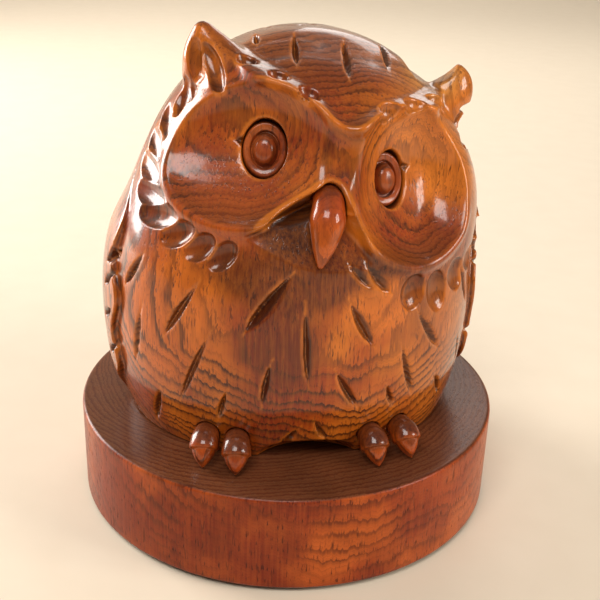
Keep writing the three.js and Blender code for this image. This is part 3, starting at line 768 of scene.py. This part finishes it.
def smooth_profile(corners, per=6):
    """Points along a soft curve through the corners, ends kept."""
    corners = np.array(corners, float)
    padded = np.vstack([2 * corners[0] - corners[1], corners, 2 * corners[-1] - corners[-2]])
    points = []
    for i in range(1, len(padded) - 2):
        p0, p1, p2, p3 = padded[i - 1:i + 3]
        for t in np.arange(per) / per:
            points.append(0.5 * (2 * p1 + (p2 - p0) * t + (2 * p0 - 5 * p1 + 4 * p2 - p3) * t ** 2
                                 + (3 * p1 - p0 - 3 * p2 + p3) * t ** 3))
    points.append(corners[-1])
    return [(max(r, 0.0), h) for r, h in points]


# ================================================================ materials
def srgb(r, g, b):
    return [((c / 255 + 0.055) / 1.055) ** 2.4 if c > 10 else c / 255 / 12.92 for c in (r, g, b)] + [1.0]


class Shading:
    """Short ways to wire a material's nodes."""

    def __init__(self, name):
        self.material = bpy.data.materials.new(name)
        self.material.use_nodes = True
        self.tree = self.material.node_tree
        self.shader = self.tree.nodes["Principled BSDF"]

    def node(self, kind, inputs=None, **settings):
        node = self.tree.nodes.new(kind)
        for key, value in settings.items():
            setattr(node, key, value)
        for key, value in (inputs or {}).items():
            self.give(node.inputs[key], value)
        return node

    def give(self, socket, value):
        if isinstance(value, bpy.types.NodeSocket):
            self.tree.links.new(value, socket)
        else:
            socket.default_value = value

    def math(self, operation, *values, clamp=False):
        node = self.node("ShaderNodeMath", operation=operation, use_clamp=clamp)
        for socket, value in zip(node.inputs, values):
            self.give(socket, value)
        return node.outputs[0]

    def vector(self, operation, *values, out=0):
        node = self.node("ShaderNodeVectorMath", operation=operation)
        for socket, value in zip(node.inputs, values):
            self.give(socket, value)
        return node.outputs[out]

    def place(self):
        """The place in the object, in mm."""
        node = self.node("ShaderNodeTexCoord")
        return self.vector("MULTIPLY", node.outputs["Object"], (1000, 1000, 1000))

    def noise(self, place, scale, detail=3.0, rough=0.5, stretch=(1, 1, 1), colour=False):
        where = self.vector("MULTIPLY", place, tuple(scale * s for s in stretch))
        node = self.node("ShaderNodeTexNoise", {"Vector": where, "Scale": 1.0, "Detail": detail,
                                                "Roughness": rough})
        return node.outputs["Color" if colour else "Fac"]

    def ramp(self, value, stops):
        node = self.node("ShaderNodeValToRGB", {"Fac": value})
        ramp = node.color_ramp
        while len(ramp.elements) < len(stops):
            ramp.elements.new(0.5)
        for element, (at, level) in zip(ramp.elements, stops):
            element.position = at
            element.color = level if isinstance(level, list) else (level, level, level, 1)
        return node.outputs["Color"]

    def span(self, value, low, high, to_low=0.0, to_high=1.0):
        node = self.node("ShaderNodeMapRange", interpolation_type="SMOOTHSTEP")
        for key, number in zip(("Value", "From Min", "From Max", "To Min", "To Max"),
                               (value, low, high, to_low, to_high)):
            self.give(node.inputs[key], number)
        return node.outputs["Result"]

    def mix(self, amount, a, b, blend="MIX"):
        node = self.node("ShaderNodeMix", data_type="RGBA", blend_type=blend)
        for index, value in ((0, amount), (6, a), (7, b)):
            self.give(node.inputs[index], value)
        return node.outputs[2]

    def bump(self, height, strength, distance, under=None):
        inputs = {"Height": height, "Strength": strength, "Distance": distance * MM}
        if under is not None:
            inputs["Normal"] = under
        return self.node("ShaderNodeBump", inputs).outputs["Normal"]

    def attribute(self, name):
        return self.node("ShaderNodeAttribute", attribute_name=name).outputs["Fac"]

    def set(self, **values):
        for key, value in values.items():
            self.give(self.shader.inputs[key.replace("_", " ")], value)
        return self.material


def zone(s, place, centre, radii):
    """1 in the middle of an ellipsoid, fading to 0 at its skin."""
    away = s.vector("DIVIDE", s.vector("SUBTRACT", place, centre), radii)
    return s.span(s.vector("LENGTH", away, out=1), 1.0, 0.45)


def wood(name, palette, rings, spacing, warp=9.0, gloss=0.12, carved=True, pores=1.0, lacquer=0.8, jag=2.2,
         zones=(), figure=0.25, ended_by=0.72):
    """Ring-porous wood, lacquered: dark ring lines, combs of pores along them and a fine upright fibre.
    rings(shading, place) gives the distance across the growth rings in mm; palette is light, mid, red,
    dark ring and end grain."""
    light, middle, red, dark, end = palette
    s = Shading(name)
    where = s.place()
    slow = s.noise(where, 1 / 40, 2.0, 0.5, (1, 1, 0.8), colour=True)
    drift = s.vector("SUBTRACT", slow, (0.5, 0.5, 0.5))
    pushed = s.vector("ADD", where, s.vector("MULTIPLY", drift, (warp * 2, warp * 2, warp)))
    comb = s.noise(where, 0.62, 2.0, 0.6, (1, 1, 0.06))
    teeth = s.math("MULTIPLY", s.math("SUBTRACT", comb, 0.5), jag)
    reach = s.math("ADD", rings(s, pushed), teeth)
    uneven = s.noise(s.node("ShaderNodeCombineXYZ", {"X": reach}).outputs[0], 0.13, 1.0, 0.5)
    phase = s.math("ADD", s.math("DIVIDE", reach, spacing), s.math("MULTIPLY", uneven, 3.0))
    ring = s.math("FRACT", phase)
    late = s.ramp(ring, [(0.0, 0.10), (0.25, 0.0), (0.55, 0.22), (0.84, 1.0), (0.96, 0.95), (1.0, 0.10)])
    fine = s.ramp(s.math("FRACT", s.math("MULTIPLY", phase, 3.7)),
                  [(0.0, 0.0), (0.7, 0.3), (0.93, 1.0), (1.0, 0.0)])
    patch = s.span(s.noise(where, 1 / 34, 2.0, 0.5), 0.38, 0.64)
    strength = s.math("MULTIPLY_ADD", patch, 0.70, figure)
    if zones:
        foot_bands = s.math("MULTIPLY", zone(s, where, *FOOT_BANDS), 0.55)
        strength = s.math("ADD", strength, foot_bands, clamp=True)
    line = s.math("MULTIPLY", late, strength)
    fibre = s.noise(where, 1.0, 4.0, 0.65, (1.0, 1.0, 0.035))
    broad = s.noise(where, 1 / 50, 2.0, 0.5, (1, 1, 0.8))
    colour = s.mix(s.span(broad, 0.38, 0.62), red, middle)
    glow = s.span(s.noise(where, 1 / 26, 3.0, 0.5, (1, 1, 0.9)), 0.42, 0.70)
    colour = s.mix(s.math("MULTIPLY", glow, 0.75), colour, light)
    drifted = s.vector("ADD", where, s.vector("MULTIPLY", drift, (14, 10, 10)))
    for centre, radii, tint, amount in zones:
        colour = s.mix(s.math("MULTIPLY", zone(s, drifted, centre, radii), amount), colour, tint)
    colour = s.mix(s.math("MULTIPLY", fine, 0.30), colour, dark)
    colour = s.mix(line, colour, dark)
    streak = s.math("MULTIPLY", s.span(fibre, 0.30, 0.72), 0.45)
    colour = s.mix(streak, colour, s.mix(0.5, colour, light))
    # pores: short dark dashes, crowded in the early wood just outside each ring line
    early = s.ramp(ring, [(0.0, 1.0), (0.26, 0.75), (0.5, 0.15), (0.9, 0.12), (1.0, 0.8)])
    dash = s.noise(where, 1.15, 2.0, 0.7, (1, 1, 0.12))
    pit = s.math("MULTIPLY", s.span(dash, 0.56, 0.66), s.math("MULTIPLY", early, pores), clamp=True)
    few = s.math("MULTIPLY", s.span(s.noise(where, 0.8, 2.0, 0.6, (1, 1, 0.16)), 0.63, 0.70), 0.6 * pores)
    pit = s.math("MAXIMUM", pit, few)
    colour = s.mix(s.math("MULTIPLY", pit, 0.80), colour, s.mix(0.6, dark, (0.012, 0.006, 0.004, 1)))
    # end grain is darker and greyer
    normal = s.node("ShaderNodeNewGeometry").outputs["Normal"]
    up = s.node("ShaderNodeSeparateXYZ", {"Vector": normal}).outputs["Z"]
    ended = s.span(s.math("ABSOLUTE", up), 0.55, 0.95)
    colour = s.mix(s.math("MULTIPLY", ended, ended_by), colour,
                   s.mix(s.math("MULTIPLY", s.math("MAXIMUM", late, fine), 0.75), end, dark))
    # carved pieces: painted shade in their cuts, hollows and the pocket under the arch, together with stain
    # pooled there
    if carved:
        hollow = s.span(s.attribute("hollow"), 0.12, 0.70)
        deep = s.span(s.attribute("deep"), 0.12, 0.65)
        edge = s.span(s.attribute("edge"), 0.10, 0.55)
        shade_and_stain = s.math("MAXIMUM", s.math("MULTIPLY", hollow, 0.85), s.math("MULTIPLY", deep, 0.72))
        shade_and_stain = s.math("MAXIMUM", shade_and_stain, s.math("MULTIPLY", s.span(s.attribute("cave"), 0.35, 0.85), 0.85))
        # painted shade together with pooled stain: the colour sinks toward dark red-brown where the surface
        # is hollow or enclosed
        colour = s.mix(shade_and_stain, colour, s.mix(0.8, colour, (0.030, 0.008, 0.003, 1)))
        # painted highlight together with wear: ridges and the lips of cuts lighten toward the light tone
        colour = s.mix(s.math("MULTIPLY", edge, 0.6), colour, light)
    hue = s.noise(where, 1 / 12, 3.0, 0.6)
    colour = s.mix(1.0, colour, s.ramp(hue, [(0.3, 0.80), (0.7, 1.0)]), blend="MULTIPLY")
    smooth = s.bump(s.noise(where, 1 / 9, 1.5, 0.4), 0.30, 0.55)
    grain = s.math("SUBTRACT", s.math("MULTIPLY", fibre, 0.35), pit)
    rough = s.math("ADD", s.math("MULTIPLY", pit, 0.25), s.math("MULTIPLY_ADD", hue, 0.16, 0.30))
    s.set(Base_Color=colour, Roughness=rough, Coat_Weight=lacquer, Coat_Roughness=gloss, Coat_IOR=1.5,
          Normal=s.bump(grain, 0.5, 0.16, smooth), Coat_Normal=s.bump(grain, 0.22, 0.10, smooth))
    s.shader.inputs["Specular IOR Level"].default_value = 0.12
    return s.material


def from_pith(s, place, pith, squash):
    """The level distance from an upright pith."""
    away = s.vector("MULTIPLY", s.vector("SUBTRACT", place, pith), squash)
    return s.vector("LENGTH", away, out=1)


def owl_rings(s, place):
    """Rings round an upright pith behind the owl, drawn closer together towards the foot."""
    parts = s.node("ShaderNodeSeparateXYZ", {"Vector": place}).outputs
    round_pith = from_pith(s, place, (0, 34, 0), (0.9, 1, 0))
    flare = s.math("MINIMUM", s.math("SUBTRACT", parts["Z"], FOOT + 40), 0.0)
    reach = s.math("MULTIPLY_ADD", parts["Z"], 0.2, round_pith)
    return s.math("MULTIPLY_ADD", flare, 0.34, reach)


def base_rings(s, place):
    """Rings round a pith behind the base's middle, on a log that tapers."""
    parts = s.node("ShaderNodeSeparateXYZ", {"Vector": place}).outputs
    round_pith = from_pith(s, place, (-7, 20, 0), (1, 1, 0))
    return s.math("MULTIPLY_ADD", parts["Z"], 0.42, round_pith)


def palette(*tones):
    return [srgb(*tone) for tone in tones]


# light, mid, red, dark ring and end grain
OWL_PALETTE = palette((226, 126, 34), (178, 74, 18), (142, 46, 14), (58, 18, 8), (128, 68, 30))
EYE_PALETTE = palette((214, 114, 50), (178, 80, 34), (150, 58, 24), (60, 22, 10), (130, 64, 30))
TOE_PALETTE = palette((208, 100, 30), (172, 66, 18), (136, 48, 18), (70, 26, 12), (104, 54, 30))
BASE_PALETTE = palette((212, 104, 38), (164, 64, 22), (132, 44, 18), (66, 24, 12), (104, 64, 40))
# parts of the owl tinted darker, redder or paler: middle, half-sizes, tint and how much. The second is
# painted shade in the hollow under the arch, together with darker end grain there.
OWL_ZONES = (
    ((-2, -62, FOOT + 71), (54, 44, 15), srgb(78, 26, 12), 0.85),
    # painted shade in the hollow under the arch, together with darker end grain
    ((-9, -58, FOOT + 87), (22, 20, 11), srgb(60, 26, 14), 0.9),
    ((-12, -62, FOOT + 50), (18, 44, 26), srgb(98, 28, 12), 0.85),
    ((22, -62, FOOT + 58), (20, 40, 15), srgb(226, 120, 34), 0.8),
    ((-52, -40, FOOT + 48), (30, 50, 34), srgb(224, 112, 34), 0.7),
    ((50, -40, FOOT + 40), (34, 50, 36), srgb(214, 118, 36), 0.6),
    ((52, -20, FOOT + 112), (36, 50, 34), srgb(236, 138, 48), 0.7),
    ((48, -6, FOOT + 130), (16, 30, 16), srgb(240, 168, 84), 0.8),
)
TOE_ZONES = (((0, -58, FOOT + 11.5), (80, 30, 6), srgb(64, 28, 14), 0.85),)
FOOT_BANDS = ((0, -40, FOOT + 14), (90, 90, 36))    # where the rings are darkest


def metal(name):
    s = Shading(name)
    where = s.place()
    dull = s.noise(where, 0.6, 4.0, 0.6)
    turned_lines = s.noise(where, 2.5, 2.0, 0.5, (0.2, 0.2, 6))
    colour = s.mix(dull, srgb(168, 164, 150), srgb(205, 200, 186))
    return s.set(Base_Color=colour, Metallic=1.0, Roughness=s.math("MULTIPLY_ADD", dull, 0.25, 0.25),
                 Normal=s.bump(turned_lines, 0.3, 0.05))


def felt(name):
    s = Shading(name)
    where = s.place()
    fluff = s.noise(where, 3.0, 5.0, 0.7)
    blotch = s.noise(where, 0.3, 2.0, 0.5)
    colour = s.mix(fluff, srgb(34, 52, 40), srgb(70, 92, 74))
    colour = s.mix(s.math("MULTIPLY", blotch, 0.3), colour, srgb(30, 44, 34))
    return s.set(Base_Color=colour, Roughness=0.95, Sheen_Weight=0.4, Normal=s.bump(fluff, 0.7, 0.3))


def plain_wood(name):
    s = Shading(name)
    where = s.place()
    fibre = s.noise(where, 1.0, 5.0, 0.6, (1, 1, 0.05))
    colour = s.ramp(fibre, [(0.3, srgb(176, 132, 80)), (0.7, srgb(222, 186, 132))])
    return s.set(Base_Color=colour, Roughness=0.65, Normal=s.bump(fibre, 0.4, 0.1))


# ================================================================ pieces
STEP = 0.62         # grid of the owl, in mm
SMALL_STEP = 0.35                          # grid of the beak and the claws
KEPT = 0.36         # share of the owl's triangles that stay
owl_wood = wood("owl_wood", OWL_PALETTE, owl_rings, 2.7, zones=OWL_ZONES)
eye_wood = wood("eye_wood", EYE_PALETTE, owl_rings, 2.3, carved=False, gloss=0.14, pores=0.6)
toe_wood = wood("toe_wood", TOE_PALETTE, owl_rings, 3.1, gloss=0.09, pores=0.5, zones=TOE_ZONES)
base_wood = wood("base_wood", BASE_PALETTE, base_rings, 2.3, warp=5.0, gloss=0.24, carved=False,
                 lacquer=0.22, figure=0.0, ended_by=0.92)

clay, eyes = carve_owl(STEP)
body = finish_clay("owl_carving", clay, owl_wood, ratio=KEPT)
placed = [(body, "owl_body", "owl_wood")]

placed.append((piece_of("beak_drop", beak_tool(), SMALL_STEP, toe_wood), "beak", "inlay_wood"))
for node, (x, y) in TOES.items():
    claw = piece_of(node.replace("toe", "claw"), toe_tool(x, y), SMALL_STEP, toe_wood)
    placed.append((claw, node, "inlay_wood"))

EYE_PROFILE = [(0, -5), (9.2, -5), (9.6, -4.6), (9.6, -0.4), (9.3, 0.5), (8.6, 0.95), (7.6, 0.8),
               (6.6, 0.35), (6.35, -0.5), (6.0, -0.9), (5.55, -0.6), (5.3, 0.3), (4.7, 1.5),
               (3.6, 2.5), (2.0, 3.1), (0, 3.25)]
for side, node in ((-1, "eye_right"), (1, "eye_left")):
    place, rows = eyes[side]
    plug = turned(node + "_plug", smooth_profile(EYE_PROFILE), 128, eye_wood, place, rows, (EYE_OVAL, 1, 1))
    placed.append((plug, node, "inlay_wood"))

BASE_LOW, BASE_HIGH = [corner[2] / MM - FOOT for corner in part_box("base_disc")]
BASE_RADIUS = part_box("base_disc")[1][0] / MM
LOWER_EDGE, UPPER_EDGE = 1.2, 1.5          # radii of the rounded edges
base_profile = [(0, BASE_LOW)] + [(r, BASE_LOW) for r in (20, 50, BASE_RADIUS - 1.4)]
for angle in np.radians(np.arange(-75, 90, 15)):
    low = angle < 0
    radius = LOWER_EDGE if low else UPPER_EDGE
    height = (BASE_LOW + LOWER_EDGE) if low else (BASE_HIGH - UPPER_EDGE)
    base_profile.append((BASE_RADIUS - radius + radius * np.cos(angle), height + radius * np.sin(angle)))
    if low and angle > np.radians(-20):
        base_profile += [(BASE_RADIUS, h) for h in np.linspace(BASE_LOW + 2, BASE_HIGH - 2.2, 24)]
base_profile += [(r, BASE_HIGH) for r in np.arange(BASE_RADIUS - 2, 2, -2.5)] + [(0, BASE_HIGH)]
base = turned("base_round", base_profile, 256, base_wood)
placed.append((base, "base_disc", "base_wood"))

FELT_PROFILE = [(0, 0), (9.8, 0), (10.6, 0.12), (11, 0.6), (10.95, 1.2), (10.4, 1.5), (0, 1.5)]
felt_green = felt("felt_green")
for i in range(4):
    low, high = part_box(f"felt_pad_{i + 1}")
    middle = ((low[0] + high[0]) / 2 / MM, (low[1] + high[1]) / 2 / MM, low[2] / MM - FOOT)
    pad = turned(f"felt_round_{i + 1}", FELT_PROFILE, 64, felt_green, middle)
    placed.append((pad, f"felt_pad_{i + 1}", "felt"))

for obj, node, slot in placed:
    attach(obj, "root")
    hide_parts(node)

dowel_look, screw_look = plain_wood("dowel_wood"), metal("screw_steel")
CAD_LOOKS = {"dowel_front": dowel_look, "dowel_back": dowel_look,
             "base_screw_right": screw_look, "base_screw_left": screw_look}
for node, look in CAD_LOOKS.items():
    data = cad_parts[node].data
    data.materials.clear()
    data.materials.append(look)

# ================================================================ floor, lights and camera
def floor_look():
    s = Shading("pale_floor")
    where = s.place()
    speck = s.noise(where, 0.05, 3.0, 0.5)
    return s.set(Base_Color=s.mix(speck, srgb(224, 209, 187), srgb(230, 216, 195)), Roughness=0.6)


mesh = bpy.data.meshes.new("floor")
curve = [(-3.0, 0.0), (1.6, 0.0)] + [(1.6 + 0.8 * math.sin(t), 0.8 - 0.8 * math.cos(t))
                                     for t in np.radians(np.arange(10, 91, 10))] + [(2.4, 3.5)]
points = [(x, y, z) for y, z in curve for x in (-4.0, 4.0)]
mesh.from_pydata(points, [], [(2 * i, 2 * i + 1, 2 * i + 3, 2 * i + 2) for i in range(len(curve) - 1)])
floor = new_object("floor", mesh, floor_look())


def area_light(name, place, target, size, power, colour=(1, 1, 1)):
    light = bpy.data.lights.new(name, "AREA")
    light.shape = "RECTANGLE"
    light.size, light.size_y = size
    light.energy = power
    light.color = colour
    obj = bpy.data.objects.new(name, light)
    obj.location = place
    obj.rotation_euler = (Vector(target) - Vector(place)).to_track_quat("-Z", "Y").to_euler()
    bpy.context.scene.collection.objects.link(obj)


MIDDLE = (0, 0, 0.11)
PANE_POWER = 0.8           # watts
area_light("window", (-0.95, 0.70, 0.42), MIDDLE, (0.6, 0.7), 21, (1.0, 0.97, 0.93))
area_light("sky", (-0.28, -0.62, 1.05), MIDDLE, (0.62, 0.46), 8, (1.0, 0.97, 0.93))
for column in (-1, 1):
    for row in (-1, 0, 1):
        pane = (0.74 + 0.05 * column, -0.48 + 0.08 * column, 0.50 + 0.15 * row)
        area_light("side_window", pane, MIDDLE, (0.15, 0.12), PANE_POWER, (1.0, 0.95, 0.88))
area_light("back_window", (0.45, 0.95, 0.75), MIDDLE, (0.6, 0.4), 2.5, (1.0, 0.98, 0.95))
area_light("backdrop", (0, 0.9, 1.5), (0.2, 2.4, 0.4), (1.6, 0.6), 22, (1.0, 0.98, 0.95))

world = bpy.data.worlds.new("room")
world.use_nodes = True
room = world.node_tree.nodes["Background"].inputs
room["Color"].default_value = (1.0, 0.93, 0.84, 1)
room["Strength"].default_value = 0.17
bpy.context.scene.world = world
bpy.context.scene.view_settings.view_transform = "Standard"

CAMERA_PLACE = (-0.0622, -0.3529, FOOT * MM + 0.1956)
camera_data = bpy.data.cameras.new("camera")
camera_data.sensor_width = 36
camera_data.lens = 59.27
camera = bpy.data.objects.new("camera", camera_data)
heading, down, roll = math.radians(10.64), math.radians(23.84), math.radians(1.91)
turn = (Matrix.Rotation(-heading, 4, "Z") @ Matrix.Rotation(math.pi / 2 - down, 4, "X")
        @ Matrix.Rotation(roll, 4, "Z"))
camera.matrix_world = Matrix.Translation(CAMERA_PLACE) @ turn
bpy.context.scene.collection.objects.link(camera)
bpy.context.scene.camera = camera
